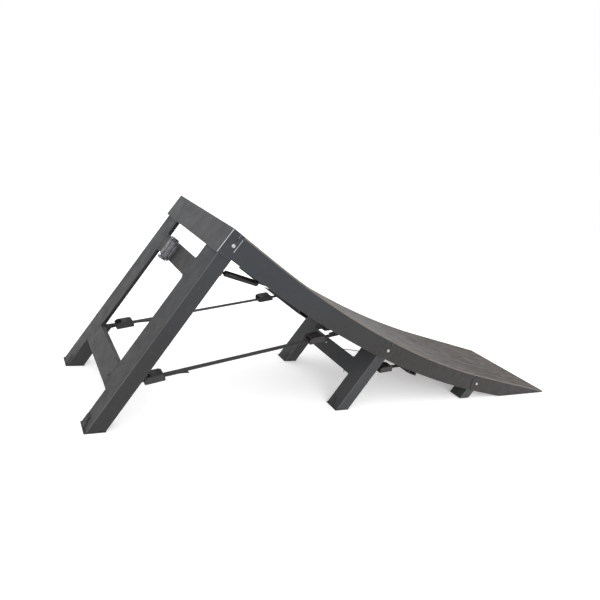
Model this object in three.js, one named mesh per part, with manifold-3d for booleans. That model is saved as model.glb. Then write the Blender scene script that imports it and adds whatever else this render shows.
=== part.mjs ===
// Portable folding kicker ramp: three hinged deck sections on three folding leg frames.
// Millimetres, +Z up, +X towards the low front edge, +Y across. Side a is -Y, side b is +Y.
import * as THREE from "three";
import { mergeVertices } from "three/addons/utils/BufferGeometryUtils.js";
import Module from "manifold-3d";

const wasm = await Module();
wasm.setup();
const { Manifold, Mesh } = wasm;

// ---- driving dimensions -------------------------------------------------
const LENGTH = 2580;          // rear foot corner to front edge
const HALF = 285;             // half width over the outer side plates
const TIP_RISE = 8;           // deck top above the ground at the front edge
const WEDGE_SLOPE = 11.1 * Math.PI / 180;
const WEDGE_RUN = 600;        // straight run behind the front edge
const DECK_RADIUS = 5000;     // transition radius of the riding surface
const DECK_ARC = 1540;
const LIP_RUN = 195;          // straight run below the lip
const LIP_S = WEDGE_RUN + DECK_ARC + LIP_RUN;
const DECK_T = 6;             // deck sheet thickness
const RAIL_D = 89;            // deck top to rail bottom edge
const PANEL_D = 97;           // depth of the rear facing panel
const SHEET = 2.5;            // rail and panel sheet
const GAP = 0.3;
const FLANGE = 26;            // rail top flange width
const PIVOT_D = 47;           // pivot axes below the deck top
const S_LIP_PIVOT = LIP_S - 36;
const S_MID_PIVOT = 1388;
const S_FRONT_PIVOT = 662;
const KNUCKLE_R = 40.4;
const BOLT_D = 8;
const CHEEK = 52;             // side return of the lip cap
const DOUBLER_BACK = 33;      // knuckle plate reach behind the middle pivot
const Y_OUT = HALF;
const Y_RAIL = HALF - SHEET - GAP;          // outer face of rear and front rails
const Y_MID = Y_RAIL - SHEET - GAP;         // outer face of the middle rails
const LEG_W = 75;
const LEG_D = 58;
const LEG_T = 3;
const REAR_LIP = 18;          // depth of the inner lip of a rear leg
const LIP_END = 556;          // the inner wall has its full depth below this distance from the pivot
const REAR_LEAN = 27.5 * Math.PI / 180;
const MID_LEAN = 28.5 * Math.PI / 180;
const FRONT_LEAN = 30 * Math.PI / 180;
const FOOT_T = 4;
const WEB_IN = 170;           // inner edge of the wide rear face of a leg
const STRAP_Y = 236;
const STRAP_W = 25;
const STRAP_T = 2.2;
const GAS_Y = 225;

// ---- geometry helpers ---------------------------------------------------
const TAB_REACH = 3.35;        // foot tabs reach this far behind the rear foot corner
const X0 = -(LENGTH - TAB_REACH) / 2;

function deckAt(s) {
  const a0 = WEDGE_SLOPE;
  if (s <= WEDGE_RUN) {
    return { x: LENGTH - s * Math.cos(a0), z: TIP_RISE + s * Math.sin(a0), a: a0 };
  }
  const w = deckAt(WEDGE_RUN);
  const phi = Math.min(s - WEDGE_RUN, DECK_ARC) / DECK_RADIUS;
  const a = a0 + phi;
  const x = w.x - DECK_RADIUS * (Math.sin(a) - Math.sin(a0));
  const z = w.z + DECK_RADIUS * (Math.cos(a0) - Math.cos(a));
  const rest = Math.max(0, s - WEDGE_RUN - DECK_ARC);
  return { x: x - rest * Math.cos(a), z: z + rest * Math.sin(a), a };
}

// point at distance s from the front edge along the deck and depth d below its top
function at(s, d) {
  const p = deckAt(s);
  return [p.x - d * Math.sin(p.a), p.z - d * Math.cos(p.a)];
}

function ribbon(s0, s1, d0, d1) {
  const n = Math.max(1, Math.ceil(Math.abs(s1 - s0) / 75));
  const pts = [];
  for (let i = 0; i <= n; i += 1) pts.push(at(s0 + (s1 - s0) * i / n, d0));
  for (let i = n; i >= 0; i -= 1) pts.push(at(s0 + (s1 - s0) * i / n, d1));
  return pts;
}

// polygon in the side view, extruded across from y0 to y1, with optional edge bevel
function plate(pts, y0, y1, bevel = 0, holes = []) {
  const shape = new THREE.Shape(pts.map((p) => new THREE.Vector2(p[0] + X0, p[1])));
  for (const h of holes) shape.holes.push(new THREE.Path(h.map((p) => new THREE.Vector2(p[0] + X0, p[1]))));
  const lo = Math.min(y0, y1);
  const hi = Math.max(y0, y1);
  const opt = { depth: hi - lo - 2 * bevel, bevelEnabled: bevel > 0, steps: 1 };
  if (bevel > 0) {
    opt.bevelThickness = bevel;
    opt.bevelSize = bevel;
    opt.bevelOffset = -bevel;
    opt.bevelSegments = 2;
  }
  const g = new THREE.ExtrudeGeometry(shape, opt);
  g.rotateX(Math.PI / 2);
  g.translate(0, hi - bevel, 0);
  return g;
}

function solid(g) {
  const bare = new THREE.BufferGeometry();
  bare.setAttribute("position", g.getAttribute("position").clone());
  if (g.index) bare.setIndex(g.index.clone());
  const m = mergeVertices(bare, 1e-4);
  const mesh = new Mesh({
    numProp: 3,
    vertProperties: new Float32Array(m.getAttribute("position").array),
    triVerts: new Uint32Array(m.index.array),
  });
  return new Manifold(mesh);
}

function geometry(man) {
  const mesh = man.getMesh();
  const g = new THREE.BufferGeometry();
  const pos = new Float32Array(mesh.numVert * 3);
  for (let i = 0; i < mesh.numVert; i += 1) {
    for (let k = 0; k < 3; k += 1) pos[i * 3 + k] = mesh.vertProperties[i * mesh.numProp + k];
  }
  g.setAttribute("position", new THREE.BufferAttribute(pos, 3));
  g.setIndex(new THREE.BufferAttribute(new Uint32Array(mesh.triVerts), 1));
  const flat = g.toNonIndexed();
  flat.computeVertexNormals();
  return flat;
}

function join(list) {
  return geometry(Manifold.union(list.map((g) => solid(g))));
}

function cut(base, list) {
  return geometry(solid(base).subtract(Manifold.union(list.map((g) => solid(g)))));
}

// round bar along Y at a side-view point
function barY(c, r, y0, y1, n = 20) {
  const g = new THREE.CylinderGeometry(r, r, Math.abs(y1 - y0), n);
  g.translate(c[0] + X0, (y0 + y1) / 2, c[1]);
  return g;
}

// solid of revolution about Y: profile of [radius, y] pairs, closed on the axis
function turnedY(c, profile, n = 20) {
  const g = new THREE.LatheGeometry(profile.map((p) => new THREE.Vector2(p[0], p[1])), n);
  g.translate(c[0] + X0, 0, c[1]);
  return g;
}

const root = new THREE.Group();
root.name = "kicker_ramp";
const COLOURS = {
  frame: 0x46494d, deck: 0x6d6560, steel: 0x9a9c9e, rubber: 0x18191a, web: 0x333435,
  buckle: 0x3a3b3c, gas: 0x222324, rod: 0xc4c6c8, bracket: 0x8d8f92,
};

function add(name, g, tone) {
  const metal = tone === "steel" || tone === "rod" || tone === "bracket" ? 0.8 : 0.2;
  const m = new THREE.MeshStandardMaterial({ color: COLOURS[tone], roughness: 0.55, metalness: metal });
  const mesh = new THREE.Mesh(g, m);
  mesh.name = name;
  root.add(mesh);
}

const SIDES = [["a", -1], ["b", 1]];
const P_LIP = at(S_LIP_PIVOT, PIVOT_D);
const P_MID = at(S_MID_PIVOT, PIVOT_D);
const P_FRONT = at(S_FRONT_PIVOT, PIVOT_D);

// station on the deck whose point at depth d has the given x
function stationAt(x, d) {
  let lo = 0;
  let hi = LIP_S;
  for (let i = 0; i < 40; i += 1) {
    const m = (lo + hi) / 2;
    if (at(m, d)[0] > x) lo = m;
    else hi = m;
  }
  return (lo + hi) / 2;
}

// ---- deck sheets --------------------------------------------------------
add("deck_rear", plate(ribbon(LIP_S - SHEET - GAP, S_MID_PIVOT + 0.5, 0, DECK_T), -Y_RAIL, Y_RAIL), "deck");
add("deck_mid", plate(ribbon(S_MID_PIVOT - 0.5, S_FRONT_PIVOT + 0.5, 0, DECK_T), -Y_RAIL, Y_RAIL), "deck");
add("deck_front", plate(ribbon(S_FRONT_PIVOT - 0.5, 0, 0, DECK_T), -Y_RAIL, Y_RAIL), "deck");

// ---- side rails ---------------------------------------------------------
const D0 = DECK_T + GAP;
function slot(p, a, from, to, w = 4) {
  const u = [Math.cos(a), -Math.sin(a)];
  const n = [Math.sin(a), Math.cos(a)];
  const q = (l, h) => [p[0] + u[0] * l + n[0] * h, p[1] + u[1] * l + n[1] * h];
  return [q(-w / 2, from), q(w / 2, from), q(w / 2, to), q(-w / 2, to)];
}

function bore(p, yOut, side, r = BOLT_D / 2 + GAP) {
  return barY(p, r, side * (yOut - 40), side * (HALF + 2), 20);
}

const A_MID = deckAt(S_MID_PIVOT).a;
const A_FRONT = deckAt(S_FRONT_PIVOT).a;
const A_LIP = deckAt(LIP_S).a;

function frontRail(side) {
  const yi = side * (Y_RAIL - SHEET);
  const yo = side * Y_RAIL;
  const top = ribbon(0, S_FRONT_PIVOT, D0, RAIL_D);
  const n = top.length / 2;
  const outline = top.slice(0, n).concat(top.slice(n).filter((p) => p[1] > 0.5));
  const sGround = stationAt(top[n][0], RAIL_D);
  let s = sGround;
  while (at(s, RAIL_D)[1] > 0 && s > 0) s -= 1;
  outline.push([at(s, RAIL_D)[0], 0]);
  outline.push([LENGTH - 3, 0]);
  const web = plate(outline, yi, yo);
  const parts = [web, barY(P_FRONT, KNUCKLE_R, yi, yo, 48)];
  parts.push(plate(ribbon(40, S_FRONT_PIVOT - 46, D0, D0 + SHEET), side * (Y_RAIL - FLANGE), yo));
  const slit = plate(slot(P_FRONT, A_FRONT, 13, 60), side * (Y_RAIL - 10), side * HALF);
  return cut(join(parts), [bore(P_FRONT, Y_RAIL, side), slit]);
}

for (const [tag, side] of SIDES) {
  const doubler = [
    plate(ribbon(S_MID_PIVOT, S_MID_PIVOT + DOUBLER_BACK, D0, RAIL_D), side * (Y_RAIL - 0.5), side * Y_OUT),
    barY(P_MID, KNUCKLE_R - 6, side * (Y_RAIL - 0.5), side * Y_OUT, 40),
  ];
  const slits = [
    plate(slot(P_MID, A_MID, 16, 60), side * (Y_RAIL - 10), side * (HALF + 1)),
    plate(slot(P_LIP, A_LIP, 16, 60), side * (Y_RAIL - 10), side * (HALF + 1)),
  ];
  const bores = [bore(P_MID, Y_RAIL, side), bore(P_LIP, Y_RAIL, side)];
  const webShape = ribbon(S_MID_PIVOT, LIP_S - SHEET - GAP, D0, RAIL_D);
  const web = plate(webShape, side * (Y_RAIL - SHEET), side * Y_RAIL);
  const knuckle = barY(P_MID, KNUCKLE_R, side * (Y_RAIL - SHEET), side * Y_RAIL, 48);
  const flangeShape = ribbon(S_MID_PIVOT + 46, LIP_S - 60, D0, D0 + SHEET);
  const flange = plate(flangeShape, side * (Y_RAIL - FLANGE), side * Y_RAIL);
  add(`rail_rear_${tag}`, cut(join([web, knuckle, flange, ...doubler]), [...slits, ...bores]), "frame");
  const midWeb = plate(ribbon(S_FRONT_PIVOT, S_MID_PIVOT, D0, RAIL_D), side * (Y_MID - SHEET), side * Y_MID);
  const midEnds = [P_FRONT, P_MID].map((p) => barY(p, KNUCKLE_R, side * (Y_MID - SHEET), side * Y_MID, 48));
  const midFlange = plate(
    ribbon(S_FRONT_PIVOT + 46, S_MID_PIVOT - 46, D0, D0 + SHEET), side * (Y_MID - FLANGE), side * Y_MID);
  const midBores = [bore(P_FRONT, Y_MID, side), bore(P_MID, Y_MID, side)];
  add(`rail_mid_${tag}`, cut(join([midWeb, ...midEnds, midFlange]), midBores), "frame");
  add(`rail_front_${tag}`, frontRail(side), "frame");
}

// ---- lip cap: rear facing cross panel with two side cheeks --------------
add("lip_panel", plate(ribbon(LIP_S - SHEET, LIP_S, 0, PANEL_D), -Y_RAIL, Y_RAIL), "frame");
for (const [tag, side] of SIDES) {
  const cheek = ribbon(LIP_S - CHEEK, LIP_S, 0, RAIL_D + 3);
  const corner = [at(LIP_S - CHEEK, RAIL_D), at(LIP_S, RAIL_D), at(LIP_S, PANEL_D), at(LIP_S - CHEEK, RAIL_D + 3)];
  const flat = [side * (Y_RAIL + GAP), side * Y_OUT];
  const body = join([plate(cheek, ...flat), plate(corner, ...flat)]);
  const slit = plate(slot(P_LIP, A_LIP, 16, 60), side * (Y_RAIL - 2), side * (HALF + 1));
  const hole = barY(P_LIP, BOLT_D / 2 + GAP, side * (Y_RAIL - 2), side * (HALF + 1));
  add(`lip_cheek_${tag}`, cut(body, [slit, hole]), "frame");
}

// ---- cross rails under the side rails -----------------------------------
function crossRail(x) {
  const s = stationAt(x, RAIL_D);
  const outer = ribbon(s - 54, s, RAIL_D + GAP, RAIL_D + 14);
  const inner = ribbon(s - 54 + SHEET, s - SHEET, RAIL_D - 2, RAIL_D + 14 - SHEET);
  return cut(plate(outer, -Y_RAIL, Y_RAIL), [plate(inner, -Y_RAIL - 5, Y_RAIL + 5)]);
}
add("cross_rail_rear", crossRail(708), "frame");

// anchor pin with a base pad standing inwards from a rail web
function anchor(p, side, yWeb) {
  const pad = barY(p, 13, side * (yWeb - GAP), side * (yWeb - GAP - 3), 20);
  const pin = barY(p, 4, side * (yWeb - GAP - 1), side * (STRAP_Y - STRAP_W / 2 - 8), 16);
  const head = barY(p, 7, side * (STRAP_Y - STRAP_W / 2 - 4), side * (STRAP_Y - STRAP_W / 2 - 8), 16);
  return join([pad, pin, head]);
}
const REAR_ANCHOR = at(stationAt(975, 73), 73);
const MID_ANCHOR = at(stationAt(1405, 74), 74);
for (const [tag, side] of SIDES) {
  add(`anchor_rear_${tag}`, anchor(REAR_ANCHOR, side, Y_RAIL - SHEET), "steel");
}

// ---- pivot bolts: button head outside, lock nut inside ------------------
function bolt(p, side, yHead, yNut) {
  const r = BOLT_D / 2;
  const prof = [
    [0, yHead + 4.4], [4.5, yHead + 4.2], [6.6, yHead + 2.6], [7, yHead + GAP], [r, yHead + GAP],
    [r, yNut - GAP], [6.6, yNut - GAP], [6.6, yNut - 7], [r, yNut - 9], [0, yNut - 9],
  ];
  const pts = prof.map((q) => [q[0], side * q[1]]);
  const g = turnedY(p, side > 0 ? pts.reverse() : pts, 18);
  return g;
}
const LEG_WALL = LEG_T;
for (const [tag, side] of SIDES) {
  add(`pivot_bolt_rear_${tag}`, bolt(P_LIP, side, Y_OUT, Y_RAIL - SHEET - GAP - LEG_WALL), "steel");
  add(`pivot_bolt_mid_${tag}`, bolt(P_MID, side, Y_OUT, Y_MID - SHEET - GAP - LEG_WALL), "steel");
  add(`pivot_bolt_front_${tag}`, bolt(P_FRONT, side, Y_RAIL, Y_MID - SHEET - GAP - LEG_WALL), "steel");
}

// ---- leg frames ---------------------------------------------------------
// local side-view frame of a leg: r down the leg from its pivot, l towards the front
function frameOf(p, lean) {
  const s = Math.sin(lean);
  const c = Math.cos(lean);
  return (r, l) => [p[0] - r * s + l * c, p[1] - r * c - l * s];
}
const HD = LEG_D / 2;
function soleR(p, lean, l, z) {
  return (p[1] - z - l * Math.sin(lean)) / Math.cos(lean);
}

// cutter that leaves the inner wall only as a lip above the strap pin
function lipCut(q, side, yi, lip) {
  const top = -HD - 9;
  const outline = [q(top, -HD + lip), q(LIP_END, -HD + lip), q(LIP_END, HD + 9), q(top, HD + 9)];
  return plate(outline, side * (yi - 1), side * (yi + LEG_T + 0.5));
}

function leg(p, lean, side, yOuter, webTop, wide, lip) {
  const q = frameOf(p, lean);
  const rb = soleR(p, lean, -HD, FOOT_T + GAP);
  const rf = soleR(p, lean, HD, FOOT_T + GAP);
  const outline = [q(rb, -HD), q(rf, HD)];
  for (let i = 0; i <= 12; i += 1) {
    const t = Math.PI * i / 12;
    outline.push(q(-HD * Math.sin(t), HD * Math.cos(t)));
  }
  const yi = yOuter - LEG_W;
  const block = plate(outline, side * yi, side * yOuter, 2);
  const pocket = plate(
    [
      q(soleR(p, lean, -HD + LEG_T, FOOT_T + GAP + 4), -HD + LEG_T),
      q(soleR(p, lean, HD + 9, FOOT_T + GAP + 4), HD + 9),
      q(-HD - 9, HD + 9), q(-HD - 9, -HD + LEG_T),
    ],
    side * (yi + LEG_T), side * (yOuter - LEG_T));
  const topCut = plate(
    [
      q(webTop, -HD - 5), q(webTop, -HD + LEG_T + 1),
      q(-HD - 9, -HD + LEG_T + 1), q(-HD - 9, -HD - 5),
    ],
    side * (yi + LEG_T), side * (yOuter - LEG_T));
  const boltHole = barY(p, BOLT_D / 2 + GAP, side * (yOuter - 12), side * (yOuter + 5));
  const cutters = [pocket, topCut, boltHole];
  if (lip) cutters.push(lipCut(q, side, yi, lip));
  const shell = cut(block, cutters);
  if (!wide) return shell;
  const wing = plate([q(wide[0], -HD), q(wide[1], -HD), q(wide[1], -HD + LEG_T), q(wide[0], -HD + LEG_T)],
    side * WEB_IN, side * (yi + 4));
  return join([shell, wing]);
}

function strapPin(g, p, side, yOuter) {
  return join([g, barY(p, 4, side * (yOuter - LEG_W + 1), side * (yOuter - 1), 16)]);
}

const Y_REAR_LEG = Y_RAIL - SHEET - GAP;
const Y_MID_LEG = Y_MID - SHEET - GAP;
const qRear = frameOf(P_LIP, REAR_LEAN);
const qMid = frameOf(P_MID, MID_LEAN);
const REAR_PIN = qRear(574, 21);
const MID_PIN = qMid(125, 21);
for (const [tag, side] of SIDES) {
  const rearLeg = leg(P_LIP, REAR_LEAN, side, Y_REAR_LEG, 46, [46, 645], REAR_LIP);
  let g = strapPin(rearLeg, REAR_PIN, side, Y_REAR_LEG);
  if (side < 0) {
    const tab = [qRear(88, -HD + 1), qRear(112, -HD + 1), qRear(110, 52), qRear(90, 52)];
    g = join([g, plate(tab, -GAS_Y - 15.6, -GAS_Y - 11.4)]);
  }
  add(`leg_rear_${tag}`, g, "frame");
  add(`leg_mid_${tag}`,
    strapPin(leg(P_MID, MID_LEAN, side, Y_MID_LEG, 46, [46, 188]), MID_PIN, side, Y_MID_LEG), "frame");
  add(`leg_front_${tag}`, leg(P_FRONT, FRONT_LEAN, side, Y_MID_LEG, 44, null), "frame");
}

// cross-members: shallow channels open to the front, rear face in line with the legs
function crossMember(q, r0, r1) {
  const y = WEB_IN - GAP;
  const outer = plate([q(r0, -HD), q(r1, -HD), q(r1, -HD + 24), q(r0, -HD + 24)], -y, y, 0.8);
  const pocket = plate(
    [q(r0 + LEG_T, -HD + LEG_T), q(r1 - LEG_T, -HD + LEG_T), q(r1 - LEG_T, HD), q(r0 + LEG_T, HD)],
    -y - 5, y + 5);
  return cut(outer, [pocket]);
}
add("cross_rear_upper", crossMember(qRear, 111, 183), "frame");
add("cross_rear_lower", crossMember(qRear, 561, 645), "frame");
add("cross_mid", crossMember(qMid, 114, 187), "frame");
const qFront = frameOf(P_FRONT, FRONT_LEAN);
const yTie = Y_MID_LEG - LEG_W - GAP;
add("tie_front", barY(qFront(62, 0), 11, -yTie, yTie, 20), "frame");

// rubber feet: sole pad with a tab up the rear face
function foot(p, lean, side, yOuter) {
  const q = frameOf(p, lean);
  const xr = q(soleR(p, lean, -HD, 0), -HD)[0];
  const xf = q(soleR(p, lean, HD, 0), HD)[0];
  const yi = side * (yOuter - LEG_W);
  const yo = side * yOuter;
  const pad = plate([[xr - 3, 0], [xf + 2, 0], [xf + 2, FOOT_T], [xr - 3, FOOT_T]], yi, yo);
  const rb = soleR(p, lean, -HD, 1);
  const tabBack = -HD - GAP - 3;
  const tab = plate([q(rb + 1, -HD - GAP), q(rb - 42, -HD - GAP), q(rb - 42, tabBack), q(rb + 1, tabBack)],
    side * (yOuter - LEG_W + 6), side * (yOuter - LEG_W + 34));
  return join([pad, tab]);
}
for (const [tag, side] of SIDES) {
  add(`foot_rear_${tag}`, foot(P_LIP, REAR_LEAN, side, Y_REAR_LEG), "rubber");
  add(`foot_mid_${tag}`, foot(P_MID, MID_LEAN, side, Y_MID_LEG), "rubber");
}

// ---- straps, cam buckles and adjusters ----------------------------------
// local side-view frame along a strap from its rear pin: u forward, v up
function strapFrame(p, e) {
  const len = Math.hypot(e[0] - p[0], e[1] - p[1]);
  const c = (e[0] - p[0]) / len;
  const s = (e[1] - p[1]) / len;
  return { q: (u, v) => [p[0] + u * c - v * s, p[1] + u * s + v * c], len };
}
function rect(q, u0, u1, v0, v1) {
  return [q(u0, v0), q(u1, v0), q(u1, v1), q(u0, v1)];
}
function strap(p, e, side, tailFrom, tailTo) {
  const f = strapFrame(p, e);
  const y0 = side * (STRAP_Y - STRAP_W / 2);
  const y1 = side * (STRAP_Y + STRAP_W / 2);
  const h = STRAP_T / 2;
  const parts = [plate(rect(f.q, 5, f.len - 5, -h, h), y0, y1)];
  for (const c of [p, e]) {
    const mid = side * STRAP_Y;
    parts.push(cut(barY(c, 6.4, y0, y1, 20), [barY(c, 4.3, mid - STRAP_W, mid + STRAP_W, 20)]));
  }
  if (tailTo > tailFrom) {
    const tail = [f.q(tailFrom, -h), f.q(tailTo, -9), f.q(tailTo + 6, -7), f.q(tailFrom + 12, h)];
    parts.push(plate(tail, y0, y1));
  }
  return join(parts);
}
const BUCKLE_L = 70;
const BUCKLE_HALF = 24;
const REAR_BUCKLE_U = 36;
const MID_BUCKLE_U = 57;
const ADJUSTER_BACK = 170;
function buckleBody(p, e, u0, side, lid) {
  const f = strapFrame(p, e);
  const y0 = side * STRAP_Y - BUCKLE_HALF;
  const y1 = side * STRAP_Y + BUCKLE_HALF;
  const u1 = u0 + BUCKLE_L;
  const block = plate(
    [f.q(u0, -11), f.q(u1, -11), f.q(u1, 6), f.q(u1 - 12, 15), f.q(u0 + 12, 15), f.q(u0, 8)], y0, y1);
  const pocket = plate(rect(f.q, u0 - 5, u1 + 5, -8, lid ? 11 : 25), y0 + 3, y1 - 3);
  const body = cut(block, [pocket]);
  if (lid) return body;
  return join([body, barY(f.q(u0 + 30, 9), 2.5, y0 + 2, y1 - 2, 14)]);
}
function camLever(p, e, u0, side) {
  const f = strapFrame(p, e);
  const half = BUCKLE_HALF - 3.6;
  const y0 = side * STRAP_Y - half;
  const y1 = side * STRAP_Y + half;
  const arm = [f.q(u0 + 22, 12), f.q(u0 + 25, 4.5), f.q(u0 + 35, 4.5), f.q(u0 + 42, 9), f.q(u0 + 66, 11.5),
    f.q(u0 + 66, 14.5), f.q(u0 + 38, 16), f.q(u0 + 26, 15.5)];
  return cut(plate(arm, y0, y1), [barY(f.q(u0 + 30, 9), 2.9, y0 - 2, y1 + 2, 14)]);
}
for (const [tag, side] of SIDES) {
  const lenR = strapFrame(REAR_PIN, REAR_ANCHOR).len;
  add(`strap_rear_${tag}`, strap(REAR_PIN, REAR_ANCHOR, side, 112, side < 0 ? 194 : 182), "web");
  add(`buckle_rear_${tag}`, buckleBody(REAR_PIN, REAR_ANCHOR, REAR_BUCKLE_U, side, false), "buckle");
  add(`lever_rear_${tag}`, camLever(REAR_PIN, REAR_ANCHOR, REAR_BUCKLE_U, side), "buckle");
  add(`adjuster_rear_${tag}`, buckleBody(REAR_PIN, REAR_ANCHOR, lenR - ADJUSTER_BACK, side, true), "buckle");
  add(`strap_mid_${tag}`, strap(MID_PIN, MID_ANCHOR, side, 0, 0), "web");
  add(`buckle_mid_${tag}`, buckleBody(MID_PIN, MID_ANCHOR, MID_BUCKLE_U, side, false), "buckle");
  add(`lever_mid_${tag}`, camLever(MID_PIN, MID_ANCHOR, MID_BUCKLE_U, side), "buckle");
  add(`anchor_mid_${tag}`, anchor(MID_ANCHOR, side, Y_MID - SHEET), "steel");
}

// loose end of the middle strap on side a, laid across to the cross-member
function bandBox(p0, p1, across, w, t) {
  const a = new THREE.Vector3(p0[0] + X0, p0[1], p0[2]);
  const b = new THREE.Vector3(p1[0] + X0, p1[1], p1[2]);
  const along = b.clone().sub(a);
  const x = along.clone().normalize();
  const z = new THREE.Vector3(...across).cross(x).normalize();
  const y = z.clone().cross(x);
  const g = new THREE.BoxGeometry(along.length() + t, w, t);
  g.applyMatrix4(new THREE.Matrix4().makeBasis(x, y, z));
  const c = a.add(b).multiplyScalar(0.5);
  g.translate(c.x, c.y, c.z);
  return g;
}
const TAIL_PATH = [[1236, -208, 183], [1230, -118, 207], [1167, -40, 184]];
const TAIL_ACROSS = [0.53, 0.8, -0.27];
add("tail_mid_a", join([
  bandBox(TAIL_PATH[0], TAIL_PATH[1], [1, 0, 0], 20, STRAP_T),
  bandBox(TAIL_PATH[1], TAIL_PATH[2], TAIL_ACROSS, 20, STRAP_T),
]), "web");
add("cross_rail_mid", crossRail(1392), "frame");

// ---- gas spring on side a ------------------------------------------------
const GAS_REAR = qRear(100, 43);
const GAS_FRONT = [663, 511];
const fg = strapFrame(GAS_REAR, GAS_FRONT);
const BODY_0 = 24;
const BODY_1 = 162;
function barAlong(u0, u1, r, n = 20) {
  const g = new THREE.CylinderGeometry(r, r, u1 - u0, n);
  g.rotateZ(-Math.PI / 2);
  g.translate((u0 + u1) / 2, 0, 0);
  const ang = Math.atan2(GAS_FRONT[1] - GAS_REAR[1], GAS_FRONT[0] - GAS_REAR[0]);
  g.rotateY(-ang);
  g.translate(GAS_REAR[0] + X0, -GAS_Y, GAS_REAR[1]);
  return g;
}
const tube = cut(barAlong(BODY_0, BODY_1, 11, 24), [barAlong(BODY_0 + 10, BODY_1 + 5, 5.4, 20)]);
const stem = barAlong(8, BODY_0 + 2, 4.5, 16);
const rearHole = barY(GAS_REAR, 4, -GAS_Y - 9, -GAS_Y + 9, 16);
const eyeRear = cut(barY(GAS_REAR, 9.5, -GAS_Y - 7, -GAS_Y + 7, 20), [rearHole]);
add("gas_cylinder", join([tube, stem, eyeRear]), "gas");
const rodBar = barAlong(BODY_0 + 90, fg.len - 8, 5, 20);
const frontHole = barY(GAS_FRONT, 4.3, -GAS_Y - 9, -GAS_Y + 9, 16);
const eyeFront = cut(barY(GAS_FRONT, 10, -GAS_Y - 7, -GAS_Y + 7, 20), [frontHole]);
add("gas_rod", join([rodBar, eyeFront]), "rod");
const studPad = barY(GAS_FRONT, 14, -(Y_RAIL - SHEET - GAP), -(Y_RAIL - SHEET - GAP - 5), 24);
const studPin = barY(GAS_FRONT, 4, -(Y_RAIL - SHEET - GAP - 1), -(GAS_Y - 11), 16);
const studHead = barY(GAS_FRONT, 7, -(GAS_Y - 7.5), -(GAS_Y - 11), 16);
add("gas_stud", join([studPad, studPin, studHead]), "steel");

// ---- carry handle on the upper cross-member -----------------------------
const H0 = 103;
const H1 = 197;
const HY = 57;
function boxRL(q, r0, r1, l0, l1, y0, y1, bevel = 0) {
  return plate([q(r0, l0), q(r1, l0), q(r1, l1), q(r0, l1)], y0, y1, bevel);
}
function barR(r0, r1, l, y, rad, n = 18) {
  const g = new THREE.CylinderGeometry(rad, rad, r1 - r0, n);
  g.rotateX(Math.PI / 2);
  g.rotateY(REAR_LEAN);
  const c = qRear((r0 + r1) / 2, l);
  g.translate(c[0] + X0, y, c[1]);
  return g;
}
const face = -HD - GAP;
const plateBack = boxRL(qRear, 114, 186, face - 3, face, 6, 111, 0.6);
const lugTop = boxRL(qRear, H0, 110.6, face - 20, face + 6, 44, 70, 1);
const lugTopFoot = boxRL(qRear, 110, 118, face - 6, face, 10, 86, 0.8);
const lugLow = boxRL(qRear, H1 - 9, H1, face - 20, face + 6, 44, 70, 1);
const lugLowFoot = boxRL(qRear, 182, 190, face - 6, face, 10, 86, 0.8);
const lugLinkTop = boxRL(qRear, H0 + 2, 118, face - 6, face - 1, 44, 70);
const lugLinkLow = boxRL(qRear, 182, H1 - 2, face - 6, face - 1, 44, 70);
const hingeBar = barR(H0 + 2, H1 - 2, face - 14, HY, 3.5);
const lugs = [lugTop, lugTopFoot, lugLow, lugLowFoot, lugLinkTop, lugLinkLow];
add("handle_base", join([plateBack, ...lugs, hingeBar]), "bracket");
const armHole = barR(H0, H1, face - 14, HY, 3.9);
const armTop = cut(boxRL(qRear, 116, 122, face - 18, face - 10, 18, HY + 6), [armHole]);
const armLow = cut(boxRL(qRear, 178, 184, face - 18, face - 10, 18, HY + 6), [armHole]);
const grip = barR(116, 184, face - 14, 18, 7.5, 20);
add("handle_bail", join([armTop, armLow, grip]), "rubber");

export default root;
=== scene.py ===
"""Folding kicker ramp: the detailed visual model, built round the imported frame."""

import math
import random

import bmesh
import bpy
from mathutils import Matrix, Vector
from mathutils.geometry import delaunay_2d_cdt


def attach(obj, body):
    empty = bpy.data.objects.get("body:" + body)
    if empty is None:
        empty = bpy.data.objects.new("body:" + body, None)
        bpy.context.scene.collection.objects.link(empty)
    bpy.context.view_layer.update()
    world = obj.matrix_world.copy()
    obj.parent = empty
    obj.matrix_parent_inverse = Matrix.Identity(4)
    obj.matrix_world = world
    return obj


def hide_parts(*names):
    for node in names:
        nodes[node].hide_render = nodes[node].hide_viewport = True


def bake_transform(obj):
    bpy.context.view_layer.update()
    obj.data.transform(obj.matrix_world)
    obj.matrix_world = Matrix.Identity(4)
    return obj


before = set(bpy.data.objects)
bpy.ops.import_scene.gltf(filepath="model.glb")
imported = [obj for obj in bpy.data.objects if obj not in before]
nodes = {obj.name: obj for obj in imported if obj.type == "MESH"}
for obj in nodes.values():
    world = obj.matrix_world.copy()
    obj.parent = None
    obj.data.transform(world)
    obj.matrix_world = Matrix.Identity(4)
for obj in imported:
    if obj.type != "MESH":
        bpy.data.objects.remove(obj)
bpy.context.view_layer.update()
random.seed(7)

# ---- sizes, in millimetres, in the side view: x from the rear foot, z up ----
LENGTH = 2580.0
X0 = -(LENGTH - 3.35) / 2
TIP_RISE = 8.0
WEDGE_SLOPE = math.radians(11.1)
WEDGE_RUN = 600.0
DECK_RADIUS = 5000.0
DECK_ARC = 1540.0
LIP_S = WEDGE_RUN + DECK_ARC + 195.0
S_MID, S_FRONT = 1388.0, 662.0
DECK_T, PANEL_D, SHEET, GAP = 6.0, 97.0, 2.5, 0.3
PIVOT_D, HEAD_OUT = 47.0, 285.0
Y_RAIL, Y_MID = 282.2, 279.4
Y_REAR_LEG, Y_MID_LEG = 279.4, 276.6
LEG_W, LEG_T, HALF_LEG = 75.0, 3.0, 29.0
REAR_LEAN, MID_LEAN, FRONT_LEAN = (math.radians(a) for a in (27.5, 28.5, 30.0))
WEB_IN = 170.0
STRAP_Y, STRAP_W = 236.0, 25.0
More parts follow.
